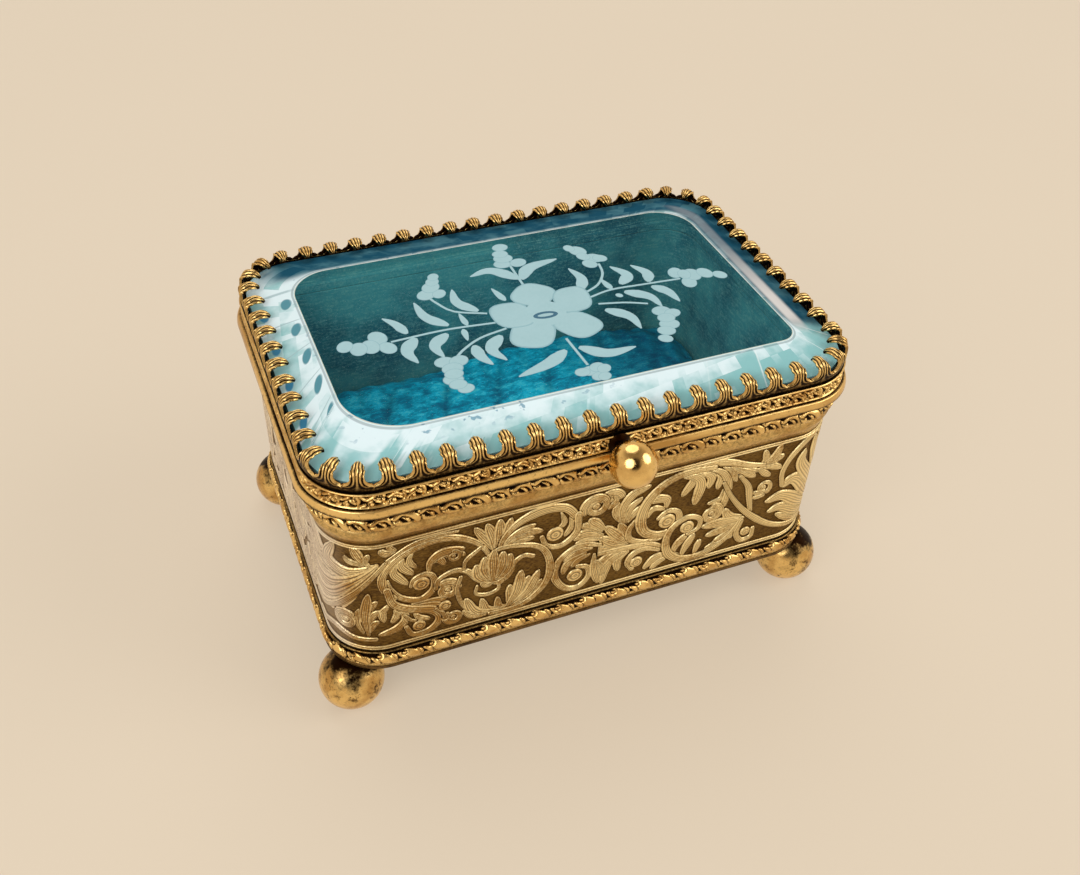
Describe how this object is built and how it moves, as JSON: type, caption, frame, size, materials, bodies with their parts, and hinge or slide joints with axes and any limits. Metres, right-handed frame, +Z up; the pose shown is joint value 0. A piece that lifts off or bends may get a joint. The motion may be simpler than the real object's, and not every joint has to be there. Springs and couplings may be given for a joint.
{
  "type": "glass casket box",
  "caption": "Small hinged jewel casket on ball feet, with cast brass sides, a silk lining and cushion, and a bevelled glass lid held by a prong gallery.",
  "frame": {"origin": "on the ground under the middle of the box's bounding box", "axes": "+Z up, -Y towards the front with the knob, +X to the right along the casket's length"},
  "size_m": [0.1256, 0.0972, 0.0722],
  "materials": {
    "gilt_brass": "aged gilt cast brass, bright on the high points and dark brown in the hollows",
    "frieze_brass": "pale gilt brass with a raised, engraved arabesque on a matt olive-brown ground",
    "aged_brass": "dark unpolished brass",
    "bevelled_glass": "clear polished plate glass with a wide bevel and an etched flower spray",
    "lining_silk": "dark grey-teal silk over card",
    "cushion_satin": "bright turquoise satin, gathered",
    "lining_card": "plain card"
  },
  "bodies": {
    "casket": {"base_plate": "aged_brass", "bottom_moulding": "gilt_brass", "side_wall": "frieze_brass", "top_moulding": "gilt_brass", "seating_rim": "aged_brass", "foot_front_left": "gilt_brass", "foot_front_right": "gilt_brass", "foot_back_left": "gilt_brass", "foot_back_right": "gilt_brass", "foot_studs": "aged_brass", "wall_lining": "lining_silk", "base_card": "lining_card", "base_cushion": "cushion_satin", "hinge_leaf_body": "aged_brass", "hinge_pin": "aged_brass"},
    "lid": {"lid_flange": "gilt_brass", "filigree_band": "gilt_brass", "glass_ledge": "aged_brass", "prong_gallery": "gilt_brass", "glass_pane": "bevelled_glass", "knob": "gilt_brass", "knob_screw": "aged_brass", "hinge_leaf_lid": "aged_brass"}
  },
  "joints": [
    {"name": "lid_hinge", "type": "hinge", "parent": "casket", "child": "lid", "pos_m": [0, 0.04725, 0.0602], "axis": [-1, 0, 0], "range_deg": [0, 100]}
  ]
}
